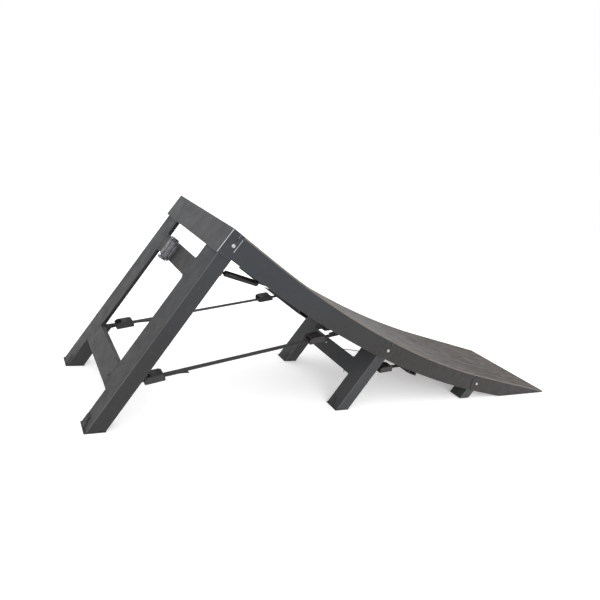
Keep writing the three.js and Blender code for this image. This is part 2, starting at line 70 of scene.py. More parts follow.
GAS_Y = -225.0
SIDES = (("a", -1), ("b", 1))


def deck_at(s):
    """The deck's top at arc length s from the tip: x, z and slope."""
    if s <= WEDGE_RUN:
        return (
            LENGTH - s * math.cos(WEDGE_SLOPE),
            TIP_RISE + s * math.sin(WEDGE_SLOPE),
            WEDGE_SLOPE,
        )
    x, z, a0 = deck_at(WEDGE_RUN)
    a = a0 + min(s - WEDGE_RUN, DECK_ARC) / DECK_RADIUS
    x -= DECK_RADIUS * (math.sin(a) - math.sin(a0))
    z += DECK_RADIUS * (math.cos(a0) - math.cos(a))
    rest = max(0.0, s - WEDGE_RUN - DECK_ARC)
    return x - rest * math.cos(a), z + rest * math.sin(a), a


def at(s, d):
    """The side-view point d below the deck's top at arc length s."""
    x, z, a = deck_at(s)
    return x - d * math.sin(a), z - d * math.cos(a)


def station_at(x, d):
    """The arc length whose point d below the deck has this x, by halving."""
    low, high = 0.0, LIP_S
    for _ in range(40):
        m = (low + high) / 2
        if at(m, d)[0] > x:
            low = m
        else:
            high = m
    return (low + high) / 2


def leg_frame(p, lean):
    """A frame on a leaning leg: r down the leg from its pivot p, l forward across it."""
    s, c = math.sin(lean), math.cos(lean)
    return lambda r, l: (p[0] - r * s + l * c, p[1] - r * c - l * s)


P_LIP, P_MID, P_FRONT = at(LIP_S - 36, PIVOT_D), at(S_MID, PIVOT_D), at(S_FRONT, PIVOT_D)
q_rear, q_mid = leg_frame(P_LIP, REAR_LEAN), leg_frame(P_MID, MID_LEAN)
q_front = leg_frame(P_FRONT, FRONT_LEAN)
REAR_PIN, MID_PIN = q_rear(574, 21), q_mid(125, 21)
REAR_ANCHOR = at(station_at(975, 73), 73)
MID_ANCHOR = at(station_at(1405, 74), 74)
GAS_REAR, GAS_FRONT = q_rear(100, 43), (663.0, 511.0)


def line_frame(p, e):
    """A frame along a straight line in the side view: u from p to e, v up."""
    length = math.hypot(e[0] - p[0], e[1] - p[1])
    c, s = (e[0] - p[0]) / length, (e[1] - p[1]) / length
    return (lambda u, v: (p[0] + u * c - v * s, p[1] + u * s + v * c)), length


def row(p, y):
    """A side-view point and a y, in the row frame, in metres."""
    return Vector(((p[0] + X0) / 1000, y / 1000, p[1] / 1000))


# ---- materials --------------------------------------------------------------
class Nodes:
    """A small helper that writes one procedural material."""

    def __init__(self, name, base, roughness, metallic=0.0):
        self.material = bpy.data.materials.new(name)
        self.material.use_nodes = True
        self.tree = self.material.node_tree
        self.shader = self.tree.nodes["Principled BSDF"]
        self.shader.inputs["Base Color"].default_value = (*base, 1)
        self.shader.inputs["Roughness"].default_value = roughness
        self.shader.inputs["Metallic"].default_value = metallic
        self.coord = self.tree.nodes.new("ShaderNodeTexCoord").outputs["Object"]

    def link(self, a, b):
        self.tree.links.new(a, b)

    def noise(self, scale, stretch=(1, 1, 1), detail=3.0, turn=(0, 0, 0), rough=0.55):
        mapping = self.tree.nodes.new("ShaderNodeMapping")
        mapping.inputs["Scale"].default_value = stretch
        mapping.inputs["Rotation"].default_value = turn
        self.link(self.coord, mapping.inputs["Vector"])
        n = self.tree.nodes.new("ShaderNodeTexNoise")
        n.inputs["Scale"].default_value = scale
        n.inputs["Detail"].default_value = detail
        n.inputs["Roughness"].default_value = rough
        self.link(mapping.outputs["Vector"], n.inputs["Vector"])
        return n.outputs["Fac"]

    def range(self, value, a, b, c=0.0, d=1.0):
        n = self.tree.nodes.new("ShaderNodeMapRange")
        self.link(value, n.inputs["Value"])
        for k, v in zip(("From Min", "From Max", "To Min", "To Max"), (a, b, c, d)):
            n.inputs[k].default_value = v
        return n.outputs["Result"]

    def mix(self, factor, a, b):
        n = self.tree.nodes.new("ShaderNodeMix")
        n.data_type = "RGBA"
        self.link(factor, n.inputs["Factor"])
        for key, v in (("A", a), ("B", b)):
            socket = next(s for s in n.inputs if s.name == key and s.type == "RGBA")
            if isinstance(v, tuple):
                socket.default_value = (*v, 1)
            else:
                self.link(v, socket)
        return next(s for s in n.outputs if s.type == "RGBA")

    def product(self, a, b):
        n = self.tree.nodes.new("ShaderNodeMath")
        n.operation = "MULTIPLY"
        self.link(a, n.inputs[0])
        self.link(b, n.inputs[1])
        return n.outputs[0]

    def axis(self, index):
        n = self.tree.nodes.new("ShaderNodeSeparateXYZ")
        self.link(self.coord, n.inputs[0])
        return n.outputs[index]

    def wave(self, scale, turn=(0, 0, 0), distortion=0.0):
        mapping = self.tree.nodes.new("ShaderNodeMapping")
        mapping.inputs["Rotation"].default_value = turn
        self.link(self.coord, mapping.inputs["Vector"])
        n = self.tree.nodes.new("ShaderNodeTexWave")
        n.inputs["Scale"].default_value = scale
        n.inputs["Distortion"].default_value = distortion
        self.link(mapping.outputs["Vector"], n.inputs["Vector"])
        return n.outputs["Fac"]

    def colour(self, socket):
        self.link(socket, self.shader.inputs["Base Color"])

    def rough(self, socket):
        self.link(socket, self.shader.inputs["Roughness"])

    def bump(self, height, strength, distance):
        n = self.tree.nodes.new("ShaderNodeBump")
        n.inputs["Strength"].default_value = strength
        n.inputs["Distance"].default_value = distance
        self.link(height, n.inputs["Height"])
        if self.shader.inputs["Normal"].is_linked:
            self.link(self.shader.inputs["Normal"].links[0].from_socket, n.inputs["Normal"])
        self.link(n.outputs["Normal"], self.shader.inputs["Normal"])


def painted(name, low, high, roughness=0.5, scuff=(0.070, 0.072, 0.074), amount=0.26, warm=None):
    """Satin coat: cloudy tone, dusty scuffs, fine scratches and orange peel.

    warm is the tone near the ground.
    """
    m = Nodes(name, high, roughness)
    base = m.mix(m.range(m.noise(3.1), 0.34, 0.68), low, high)
    if warm:
        base = m.mix(m.range(m.axis(2), 0.60, 0.28), base, warm)
    dust = m.range(m.noise(46, detail=6.0, rough=0.7), 0.57, 0.74, 0.0, amount)
    scratch = m.range(m.noise(9, (1, 6, 30), 5.0, (0, 0.5, 0)), 0.66, 0.70, 0.0, amount)
    m.colour(m.mix(scratch, m.mix(dust, base, scuff), scuff))
    m.rough(m.range(m.noise(22, detail=4.0), 0.3, 0.7, roughness - 0.07, roughness + 0.09))
    m.bump(m.noise(620, detail=2.0), 0.12, 0.0004)
    m.shader.inputs["Specular IOR Level"].default_value = 0.22
    return m.material


def deck_surface(name, edge=False):
    m = Nodes(name, (0.11, 0.09, 0.08), 0.52)
    if edge:
        ply = m.range(m.noise(5, (1, 1, 60)), 0.4, 0.6)
        m.colour(m.mix(ply, (0.085, 0.074, 0.064), (0.125, 0.108, 0.094)))
        m.bump(m.noise(300), 0.3, 0.0004)
        return m.material
    m.shader.inputs["Specular IOR Level"].default_value = 0.12
    # the colour ramps down the deck: lighter and greyer towards the rear end is a painted sheen of the grazing
    # view, the brown towards the tip is the film's own colour
    along = m.range(m.axis(0), -0.35, 1.25)
    tone = m.mix(along, (0.066, 0.063, 0.060), (0.028, 0.0175, 0.0120))
    streak = m.range(m.noise(1.6, (1, 16, 1), 6.0, rough=0.65), 0.42, 0.72, 0.0, 0.7)
    # the streaks ramp the same way, lighter towards the rear end: painted sheen
    tone = m.mix(streak, tone, m.mix(along, (0.078, 0.072, 0.067), (0.054, 0.040, 0.033)))
    blotch = m.range(m.noise(4.2, detail=5.0, rough=0.7), 0.48, 0.66, 0.0, 0.7)
    tone = m.mix(blotch, tone, (0.022, 0.0145, 0.0115))
    spots = m.range(m.noise(34, (1, 1.6, 1), 4.0, rough=0.6), 0.66, 0.72)
    tone = m.mix(m.product(spots, m.range(m.axis(0), 0.0, 1.0, 0.1, 0.85)), tone, (0.085, 0.030, 0.017))
    scratch = m.range(m.noise(5, (1, 34, 1), 4.0, (0, 0, 0.12)), 0.66, 0.69, 0.0, 0.65)
    tone = m.mix(scratch, tone, (0.15, 0.125, 0.105))
    m.colour(tone)
    m.rough(m.range(m.noise(14, (1, 5, 1), 4.0), 0.3, 0.7, 0.4, 0.62))
    m.bump(m.noise(420, detail=2.0), 0.35, 0.0006)
    m.bump(m.wave(95, (0, 0, math.pi / 4)), 0.10, 0.0004)
    m.bump(m.wave(95, (0, 0, -math.pi / 4)), 0.10, 0.0004)
    return m.material


def metal(name, low, high, roughness, streak=(1, 1, 1)):
    m = Nodes(name, high, roughness, 1.0)
    m.colour(m.mix(m.range(m.noise(60, streak, 4.0), 0.35, 0.65), low, high))
    m.rough(m.range(m.noise(130, streak), 0.3, 0.7, roughness - 0.06, roughness + 0.1))
    m.bump(m.noise(700, streak), 0.1, 0.0002)
    return m.material


def woven(name):
    m = Nodes(name, (0.024, 0.024, 0.026), 0.85)
    thread = m.wave(430, (0, math.radians(76), 0))
    cross = m.wave(330, (0, 0, math.pi / 2))
    m.colour(m.mix(m.product(thread, cross), (0.016, 0.016, 0.0175), (0.040, 0.040, 0.042)))
    m.bump(thread, 0.5, 0.0005)
    m.bump(cross, 0.4, 0.0004)
    m.shader.inputs["Sheen Weight"].default_value = 0.08
    return m.material


def rubbery(name, low, high, roughness=0.7):
    m = Nodes(name, high, roughness)
    m.colour(m.mix(m.range(m.noise(70, detail=5.0), 0.4, 0.65), low, high))
    m.bump(m.noise(500), 0.3, 0.0005)
    return m.material


PAINT = painted("ramp_paint", (0.0215, 0.0240, 0.0280), (0.028, 0.0305, 0.0355), warm=(0.0205, 0.0184, 0.0174))
PANEL = painted("ramp_panel_paint", (0.034, 0.037, 0.038), (0.044, 0.043, 0.045))
WARM = painted(
    "ramp_leg_paint", (0.0200, 0.0220, 0.0250), (0.0275, 0.0295, 0.032), warm=(0.0195, 0.0192, 0.0200)
)
CROSS = painted("ramp_cross_paint", (0.0190, 0.0186, 0.0190), (0.0245, 0.0232, 0.0236))
MIDLEG = painted("ramp_middle_leg_paint", (0.026, 0.0275, 0.029), (0.037, 0.0375, 0.038))
# lighter copy of the paint for the rounded bends of the sheet-metal skins: a painted highlight along the bends
EDGE = painted("ramp_paint_edge_highlight", (0.055, 0.060, 0.064), (0.090, 0.095, 0.10), 0.42)
BARE_AND_HIGHLIGHT = metal("bare_edge_and_highlight_steel", (0.28, 0.29, 0.30), (0.52, 0.54, 0.56), 0.4)
DECK = deck_surface("deck_film_and_painted_sheen")
DECK_EDGE = deck_surface("deck_ply_edge", True)
ZINC = metal("zinc_plate", (0.34, 0.35, 0.36), (0.52, 0.53, 0.54), 0.36)
DULL = metal("dull_zinc_plate", (0.10, 0.103, 0.108), (0.22, 0.225, 0.235), 0.45)
# near-black: the black screw heads, and painted shade for the small holes in the rails
DARK = rubbery("dark_screw_and_hole_shade", (0.006, 0.006, 0.006), (0.012, 0.012, 0.012), 0.9)
WEB = woven("strap_webbing")
THREAD = rubbery("stitch_thread", (0.07, 0.07, 0.07), (0.12, 0.12, 0.12), 0.8)
CAST = painted("buckle_coat", (0.022, 0.021, 0.021), (0.031, 0.029, 0.029), 0.5, (0.06, 0.058, 0.058))
RUBBER = rubbery("foot_rubber", (0.010, 0.010, 0.011), (0.020, 0.020, 0.021))
GRIP = rubbery("grip_sleeve", (0.05, 0.05, 0.06), (0.08, 0.08, 0.095), 0.6)
TUBE = painted("gas_tube_gloss", (0.006, 0.006, 0.0065), (0.011, 0.011, 0.0115), 0.34, (0.04, 0.034, 0.032))
CHROME = metal("rod_chrome", (0.6, 0.6, 0.6), (0.75, 0.75, 0.75), 0.15)


# ---- mesh helpers -----------------------------------------------------------
def finish_mesh(name, bm, materials, body, replaces=(), weld=True):
    if weld:
        bmesh.ops.remove_doubles(bm, verts=bm.verts, dist=1e-6)
    bmesh.ops.recalc_face_normals(bm, faces=bm.faces)
    mesh = bpy.data.meshes.new(name)
    bm.to_mesh(mesh)
    bm.free()
    obj = bpy.data.objects.new(name, mesh)
    bpy.context.scene.collection.objects.link(obj)
    for material in materials:
        mesh.materials.append(material)
    if replaces:
        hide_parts(*replaces)
    if body:
        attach(obj, body)
    return obj


def round_edges(bm, width, segments=2, angle=28.0, material=-1):
    sharp = [
        e for e in bm.edges
        if len(e.link_faces) == 2 and e.calc_face_angle(0) > math.radians(angle)
    ]
    made = bmesh.ops.bevel(
        bm, geom=sharp, offset=width / 1000, segments=segments, profile=0.5,
        affect="EDGES", clamp_overlap=False, material=material,
    )
    for f in made["faces"]:
        f.smooth = True


def refill(bm, most=8):
    """Many-sided flat faces are filled again with triangles that stay inside their outline."""
    for f in [f for f in bm.faces if len(f.verts) > most]:
        n, corners = f.normal.copy(), list(f.verts)
        u = n.orthogonal().normalized()
        w = n.cross(u)
        flat = [Vector((v.co.dot(u), v.co.dot(w))) for v in corners]
        made = delaunay_2d_cdt(flat, [], [list(range(len(flat)))], 1, 1e-7)
        depth, material = corners[0].co.dot(n), f.material_index
        verts = [
            corners[source[0]] if source else bm.verts.new(u * p.x + w * p.y + n * depth)
            for p, source in zip(made[0], made[3])
        ]
        bmesh.ops.delete(bm, geom=[f], context="FACES_ONLY")
        for tri in made[2]:
            chosen = [verts[i] for i in tri]
            if len(set(chosen)) == 3 and bm.faces.get(chosen) is None:
                bm.faces.new(chosen).material_index = material


def node_skin(name, body, materials, width=0.8, segments=2):
    """A bevelled copy of a sheet-metal node, in place of the node."""
    bm = bmesh.new()
    bm.from_mesh(nodes[name].data)
    bmesh.ops.remove_doubles(bm, verts=bm.verts, dist=2e-6)
    bmesh.ops.dissolve_limit(
        bm, angle_limit=math.radians(0.25), verts=bm.verts, edges=bm.edges
    )
    for f in bm.faces:
        f.material_index = 0
        f.smooth = False
    round_edges(bm, width, segments, material=1)
    for v in bm.verts:
        v.co.y = round(v.co.y, 6)
    bm.normal_update()
    refill(bm)
    return finish_mesh(name + "_skin", bm, materials, body, (name,), weld=False)


def prism(bm, points, y0, y1, material=0):
    """A side-view polygon carried from y0 to y1."""
    near = [bm.verts.new(row(p, y0)) for p in points]
    far = [bm.verts.new(row(p, y1)) for p in points]
    faces = [bm.faces.new(near), bm.faces.new(far[::-1])]
    for i in range(len(points)):
        j = (i + 1) % len(points)
        faces.append(bm.faces.new((near[j], near[i], far[i], far[j])))
    for f in faces:
        f.material_index = material
    return faces


def rings(bm, loops, material=0, closed_path=False, smooth=True, caps=True):
    """Skins equal-length rings of points one after the other."""
    made = [[bm.verts.new(p) for p in loop] for loop in loops]
    count = len(made[0])
    pairs = list(zip(made, made[1:])) + ([(made[-1], made[0])] if closed_path else [])
    for a, b in pairs:
        for i in range(count):
            j = (i + 1) % count
            f = bm.faces.new((a[i], a[j], b[j], b[i]))
            f.smooth = smooth
            f.material_index = material
    if caps and not closed_path:
        for loop in (made[0][::-1], made[-1]):
            bm.faces.new(loop).material_index = material


def turned(bm, origin, direction, profile, count=32, material=0, smooth=True):
    """A profile of (radius, distance) in mm, turned round an axis from a row-frame point."""
    d = Vector(direction).normalized()
    side = d.orthogonal().normalized()
    other = d.cross(side)
    loops = []
    for radius, along in profile:
        radius = max(radius, 0.01)
        loops.append([
            origin + (d * along + (side * math.cos(t) + other * math.sin(t)) * radius) / 1000
            for t in (2 * math.pi * i / count for i in range(count))
        ])
    rings(bm, loops, material, smooth=smooth)


def ring_bar(bm, centre, radius, wire, y, count=28, sides=10, material=0):
    """A torus with its axis along Y."""
    loops = []
    for i in range(count):
        t = 2 * math.pi * i / count
        loops.append([
            row((centre[0] + (radius + wire * math.cos(v)) * math.cos(t),
                 centre[1] + (radius + wire * math.cos(v)) * math.sin(t)), y + wire * math.sin(v))
            for v in (2 * math.pi * k / sides for k in range(sides))
        ])
    rings(bm, loops, material, closed_path=True)


# ---- camera and light -------------------------------------------------------
def make_camera():
    data = bpy.data.cameras.new("camera")
    data.lens, data.sensor_width = 30.0, 36.0
    data.clip_start, data.clip_end = 0.05, 200.0
    cam = bpy.data.objects.new("camera", data)
    bpy.context.scene.collection.objects.link(cam)
    heading, tilt, roll = (math.radians(a) for a in (-34.2435, -16.0229, 13.7373))
    turn = (
        Matrix.Rotation(heading, 4, "Z")
        @ Matrix.Rotation(math.pi / 2 + tilt, 4, "X")
        @ Matrix.Rotation(roll, 4, "Z")
    )
    cam.matrix_world = Matrix.Translation((-1.60005, -1.76506, 1.01977)) @ turn
    bpy.context.scene.camera = cam


def make_light():
    scene = bpy.context.scene
    scene.view_settings.view_transform = "Standard"
    world = bpy.data.worlds.new("studio")
    world.use_nodes = True
    world.node_tree.nodes["Background"].inputs["Color"].default_value = (1, 1, 1, 1)
    world.node_tree.nodes["Background"].inputs["Strength"].default_value = 1.0
    scene.world = world
    for name, direction, strength, spread in (
        ("key", (0.55, 0.62, -1.0), 0.5, 60),
        ("front", (0.2, 0.95, -0.22), 2.1, 50),
        ("back", (0.2, -0.9, -0.75), 0.35, 80),
    ):
        data = bpy.data.lights.new(name, "SUN")
        data.energy, data.angle = strength, math.radians(spread)
        lamp = bpy.data.objects.new(name, data)
        lamp.rotation_mode = "QUATERNION"
        lamp.rotation_quaternion = Vector(direction).to_track_quat("-Z", "Y")
        scene.collection.objects.link(lamp)
    mesh = bpy.data.meshes.new("floor")
    size = 60.0
    mesh.from_pydata(
        [(-size, -size, 0), (size, -size, 0), (size, size, 0), (-size, size, 0)],
        [], [(0, 1, 2, 3)],
    )
    floor = bpy.data.objects.new("floor", mesh)
    floor.location.z = -0.0005
    pale = bpy.data.materials.new("floor_pale")
    pale.use_nodes = True
    shader = pale.node_tree.nodes["Principled BSDF"]
    shader.inputs["Base Color"].default_value = (0.88, 0.88, 0.88, 1)
    shader.inputs["Roughness"].default_value = 0.9
    shader.inputs["Emission Color"].default_value = (1, 1, 1, 1)
    shader.inputs["Emission Strength"].default_value = 0.32
    mesh.materials.append(pale)
    scene.collection.objects.link(floor)


make_camera()
make_light()

# ---- sheet metal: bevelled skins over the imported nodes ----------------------
SHEET_SKINS = [
    ("rear_section", ("rail_rear_a", "rail_rear_b", "cross_rail_rear"), PAINT),
    ("rear_section", ("lip_cheek_a", "lip_cheek_b"), PAINT),
    ("mid_section", ("rail_mid_a", "rail_mid_b", "cross_rail_mid"), PAINT),
    ("front_section", ("rail_front_a", "rail_front_b"), PAINT),
    ("rear_leg_frame", ("leg_rear_a", "leg_rear_b"), WARM),
    ("rear_leg_frame", ("cross_rear_upper", "cross_rear_lower"), CROSS),
    ("mid_leg_frame", ("leg_mid_a", "leg_mid_b", "cross_mid"), MIDLEG),
    ("front_leg_frame", ("leg_front_a", "leg_front_b"), MIDLEG),
]
for body, names, coat in SHEET_SKINS:
    for name in names:
        node_skin(name, body, [coat, EDGE], 0.7)
node_skin("lip_panel", "rear_section", [PANEL, EDGE], 0.7)


# ---- deck sheets ------------------------------------------------------------
def deck_sheet(name, body, s0, s1):
    bm = bmesh.new()
    y, t, r = Y_RAIL, DECK_T, 1.2
    section = [(-y, t - r), (-y, r), (-y + r * 0.3, r * 0.3), (-y + r, 0.0)]
    section += [(-y + 2 * y * k / 8, 0.0) for k in range(1, 8)]
    section += [(y - r, 0.0), (y - r * 0.3, r * 0.3), (y, r), (y, t - r), (y - r, t), (-y + r, t)]
    count = max(2, round(abs(s1 - s0) / 12))
    loops = [
        [row(at(s0 + (s1 - s0) * i / count, d), yy) for yy, d in section]
        for i in range(count + 1)
    ]
    rings(bm, loops, 0, smooth=False)
    bm.normal_update()
    for f in bm.faces:
        ys = [abs(v.co.y) * 1000 for v in f.verts]
        if min(ys) > y - r * 1.01 and len(f.verts) == 4:
            f.material_index = 1
    return finish_mesh(name + "_sheet", bm, [DECK, DECK_EDGE], body, (name,))


deck_sheet("deck_rear", "rear_section", LIP_S - SHEET - GAP, S_MID + 0.5)
deck_sheet("deck_mid", "mid_section", S_MID - 0.5, S_FRONT + 0.5)
deck_sheet("deck_front", "front_section", S_FRONT - 0.5, 0.0)


# ---- bright edges and small marks on the frame ------------------------------
def bright_strip(name, body, points, side, y, proud=0.5):
    """A bright strip along an edge, used for a bare edge and for a painted highlight: side-view polygon,
    standing proud of the plate at y.
    """
    bm = bmesh.new()
    prism(bm, points, side * (y - 0.4), side * (y + proud))
    round_edges(bm, 0.2, 1)
    return finish_mesh(name, bm, [BARE_AND_HIGHLIGHT], body)


def along_deck(s0, s1, d0, d1):
    return [at(s0, d0), at(s1, d0), at(s1, d1), at(s0, d1)]


for tag, side in SIDES:
    # the strip on the lip's corner is a painted highlight along the bend; the cheek strip is the flange's bare
    # edge
    bright_strip(f"lip_corner_highlight_{tag}", "rear_section",
                 along_deck(LIP_S - 1.9, LIP_S + 0.3, 2, PANEL_D - 3), side, HEAD_OUT, 0.3)
    bright_strip(f"cheek_edge_{tag}", "rear_section",
                 along_deck(LIP_S - 52.6, LIP_S - 50.8, 12, 64), side, HEAD_OUT, 0.25)


def rivet(name, body, centre, normal, radius, height, materials):
    bm = bmesh.new()
    n = Vector(normal).normalized()
    profile = [(0, -1.0), (radius, -1.0), (radius, height * 0.15), (radius * 0.93, height * 0.45),
               (radius * 0.7, height * 0.8), (radius * 0.35, height * 0.97), (0, height)]
    turned(bm, centre, n, profile, 24)
    return finish_mesh(name, bm, materials, body)


LEG_BACK = Vector((-math.cos(REAR_LEAN), 0, math.sin(REAR_LEAN)))
MID_BACK = Vector((-math.cos(MID_LEAN), 0, math.sin(MID_LEAN)))
for tag, side in SIDES:
    # the rail and front dots are dark discs: painted shade standing in for small holes
    rivet(f"rail_hole_shade_dot_{tag}", "rear_section", row((881, 463), side * Y_RAIL), (0, side, 0), 2.2, 0.5, [DARK])
    rivet(f"front_hole_shade_dot_{tag}", "front_section", row((2007, 35), side * Y_RAIL), (0, side, 0), 2.6, 0.5, [DARK])
rivet("mid_cross_rivet", "mid_leg_frame", row(q_mid(138, -HALF_LEG), 36), MID_BACK, 4.2, 3.0, [ZINC])
rivet("upper_cross_screw", "rear_leg_frame", row(q_rear(118, -HALF_LEG), 152), LEG_BACK, 4.5, 2.0, [DARK])
rivet("lower_cross_screw", "rear_leg_frame", row(q_rear(612, -HALF_LEG), -160), LEG_BACK, 4.0, 2.0, [DARK])


# ---- pivot bolts ------------------------------------------------------------
NUT_FLAT = 6.5  # from the nut's middle to its flats


def pivot_bolt(name, body, p, side, head, nut):
    """Button head with a hexagon socket outside, washer, shank, and a lock nut inside."""
    bm = bmesh.new()
    origin, out = row(p, 0), Vector((0, side, 0))
    turned(bm, origin, out, [(4.1, head + 0.35), (7.4, head + 0.35), (7.4, head + 0.9), (4.1, head + 0.9)], 32)
    sides, socket = 36, 2.5
    loops = []

    def ring(radius, along, hexagon=False):
        points = []
        for i in range(sides):
            t = 2 * math.pi * i / sides
            r = radius
            if hexagon:
                r = socket / math.cos((t + math.pi / 6) % (math.pi / 3) - math.pi / 6)
            points.append(origin + (out * along + Vector((math.cos(t), 0, math.sin(t))) * r) / 1000)
        loops.append(points)

    for radius, along in ((4.0, nut - 8.6), (4.0, head + 1.0), (6.9, head + 1.0), (7.0, head + 1.5),
                          (6.6, head + 2.6), (5.8, head + 3.6), (4.7, head + 4.2), (3.4, head + 4.35)):
        ring(radius, along)
    ring(0, head + 4.3, True)
    ring(0, head + 2.0, True)
    rings(bm, loops, 0, smooth=True)
    for f in bm.faces:
        if len(f.verts) > 20:
            f.smooth = False
    corner = NUT_FLAT / math.cos(math.pi / 6)
    hexagon = [(corner * math.cos(math.pi * k / 3), corner * math.sin(math.pi * k / 3)) for k in range(6)]
    nut_ring = []
    for along, grow in ((nut - 0.4, 0.94), (nut - 1.0, 1.0), (nut - 5.6, 1.0), (nut - 6.4, 0.92),
                        (nut - 8.0, 0.74)):
        nut_ring.append([row((p[0] + x * grow, p[1] + z * grow), side * along) for x, z in hexagon])
    rings(bm, nut_ring, 0, smooth=False)
    return finish_mesh(name + "_bolt", bm, [ZINC], body, (name,), weld=False)


for tag, side in SIDES:
    inner_rear, inner_mid = Y_RAIL - SHEET - GAP - LEG_T, Y_MID - SHEET - GAP - LEG_T
    pivot_bolt(f"pivot_bolt_rear_{tag}", "rear_section", P_LIP, side, HEAD_OUT, inner_rear)
    pivot_bolt(f"pivot_bolt_mid_{tag}", "rear_section", P_MID, side, HEAD_OUT, inner_mid)
    pivot_bolt(f"pivot_bolt_front_{tag}", "mid_section", P_FRONT, side, Y_RAIL, inner_mid)


# ---- leg frames: rounded window corners, weld beads, tie, feet --------------
def window_corner(name, body, q, r_edge, side, towards, radius=14.0, lean_back=HALF_LEG):
    """A concave fillet in a corner between a cross-member edge and a leg's web."""
    bm = bmesh.new()
    outline = []
    y_edge = WEB_IN + 0.4
    for i in range(9):
        t = math.pi / 2 * i / 8
        outline.append((r_edge + towards * radius * (1 - math.sin(t)), y_edge - radius * (1 - math.cos(t))))
    outline.append((r_edge - towards * 0.4, y_edge - radius))
    outline.append((r_edge - towards * 0.4, y_edge))
    front = [bm.verts.new(row(q(r, -lean_back), side * y)) for r, y in outline]
    back = [bm.verts.new(row(q(r, -lean_back + LEG_T), side * y)) for r, y in outline]
    bm.faces.new(front)
    bm.faces.new(back[::-1])
    for i in range(len(outline)):
        j = (i + 1) % len(outline)
        bm.faces.new((front[j], front[i], back[i], back[j]))
    return finish_mesh(name, bm, [WARM], body)


def weld_bead(name, body, q, r0, r1, y, material, width=3.2):
    """A low rippled bead down a seam between a leg and a cross-member."""
    bm = bmesh.new()
    loops = []
    count = max(6, round(abs(r1 - r0) / 1.6))
    for i in range(count + 1):
        r = r0 + (r1 - r0) * i / count
        high = 0.35 + 0.22 * abs(math.sin(i * 1.1)) + 0.05 * random.random()
        w = width * (0.9 + 0.1 * random.random())
        loops.append([
            row(q(r, -HALF_LEG + 0.4 - (high + 0.4) * math.sin(math.pi * k / 6)),
                y + w * math.cos(math.pi * k / 6))
            for k in range(7)
        ])
    rings(bm, loops, 0)
    return finish_mesh(name, bm, [material], body)


for tag, side in SIDES:
    for label, edge, towards in (("upper_low", 183, 1), ("upper_high", 111, -1), ("lower_high", 561, -1)):
        window_corner(f"corner_{label}_{tag}", "rear_leg_frame", q_rear, edge, side, towards)
    for label, edge, towards in (("mid_low", 187, 1), ("mid_high", 114, -1)):
        window_corner(f"corner_{label}_{tag}", "mid_leg_frame", q_mid, edge, side, towards, 10.0)
    seam = side * (WEB_IN - 0.15)
    weld_bead(f"weld_upper_{tag}", "rear_leg_frame", q_rear, 112, 182, seam, WARM)
    weld_bead(f"weld_lower_{tag}", "rear_leg_frame", q_rear, 562, 644, seam, WARM)
    weld_bead(f"weld_mid_{tag}", "mid_leg_frame", q_mid, 115, 186, seam, MIDLEG)


def tie_bar():
    bm = bmesh.new()
    y = Y_MID_LEG - LEG_W - GAP
    turned(bm, row(q_front(62, 0), -y), (0, 1, 0),
           [(9.5, 0), (11, 1.5), (11, 2 * y - 1.5), (9.5, 2 * y)], 36)
    finish_mesh("tie_front_bar", bm, [PAINT], "front_leg_frame", ("tie_front",))


tie_bar()


def rubber_foot(name, body, p, lean, side, y_outer):
    q = leg_frame(p, lean)
    bm = bmesh.new()
    rear_x = q((p[1] + HALF_LEG * math.sin(lean)) / math.cos(lean), -HALF_LEG)[0]
    front_x = q((p[1] - HALF_LEG * math.sin(lean)) / math.cos(lean), HALF_LEG)[0]
    y0, y1 = y_outer - LEG_W, y_outer
    prism(bm, [(rear_x - 3, 0), (front_x + 2, 0), (front_x + 2, 4), (rear_x - 3, 4)], side * y0, side * y1)
    round_edges(bm, 0.9, 2)
    for k in range(6):
        x = rear_x + 4 + k * (front_x - rear_x - 6) / 6
        prism(bm, [(x, 0.6), (x + 3, 0.6), (x + 3, 3.4), (x, 3.4)], side * (y1 - 0.6), side * (y1 + 0.5))
        prism(bm, [(x, 0.6), (x + 3, 0.6), (x + 3, 3.4), (x, 3.4)], side * (y0 + 0.6), side * (y0 - 0.5))
    rb = (p[1] - 1 + HALF_LEG * math.sin(lean)) / math.cos(lean)
    tab = [q(rb + 1, -HALF_LEG - GAP), q(rb - 42, -HALF_LEG - GAP), q(rb - 40, -HALF_LEG - GAP - 3),
           q(rb + 1, -HALF_LEG - GAP - 3)]
    prism(bm, tab, side * (y0 + 6), side * (y0 + 34))
    prism(bm, [q(rb - 2, -HALF_LEG - GAP), q(rb - 22, -HALF_LEG - GAP), q(rb - 20, -HALF_LEG - GAP - 2.6),
               q(rb - 2, -HALF_LEG - GAP - 2.6)], side * (y0 + 33), side * (y0 + 44))
    back = Vector((-math.cos(lean), 0, math.sin(lean)))
    for r in (rb - 32, rb - 12):
        turned(bm, row(q(r, -HALF_LEG - GAP - 3), side * (y0 + 20)), back,
               [(4.5, -0.5), (4.2, 0.9), (2.5, 1.4), (0, 1.5)], 20)
    finish_mesh(name + "_pad", bm, [RUBBER], body, (name,), weld=False)


for tag, side in SIDES:
    rubber_foot(f"foot_rear_{tag}", "rear_leg_frame", P_LIP, REAR_LEAN, side, Y_REAR_LEG)
    rubber_foot(f"foot_mid_{tag}", "mid_leg_frame", P_MID, MID_LEAN, side, Y_MID_LEG)


# ---- straps -----------------------------------------------------------------
TAIL_START, SPLIT_TAIL, DOUBLED_TAIL = 62, 96, 84  # from the buckle's rear end; the two loose tails


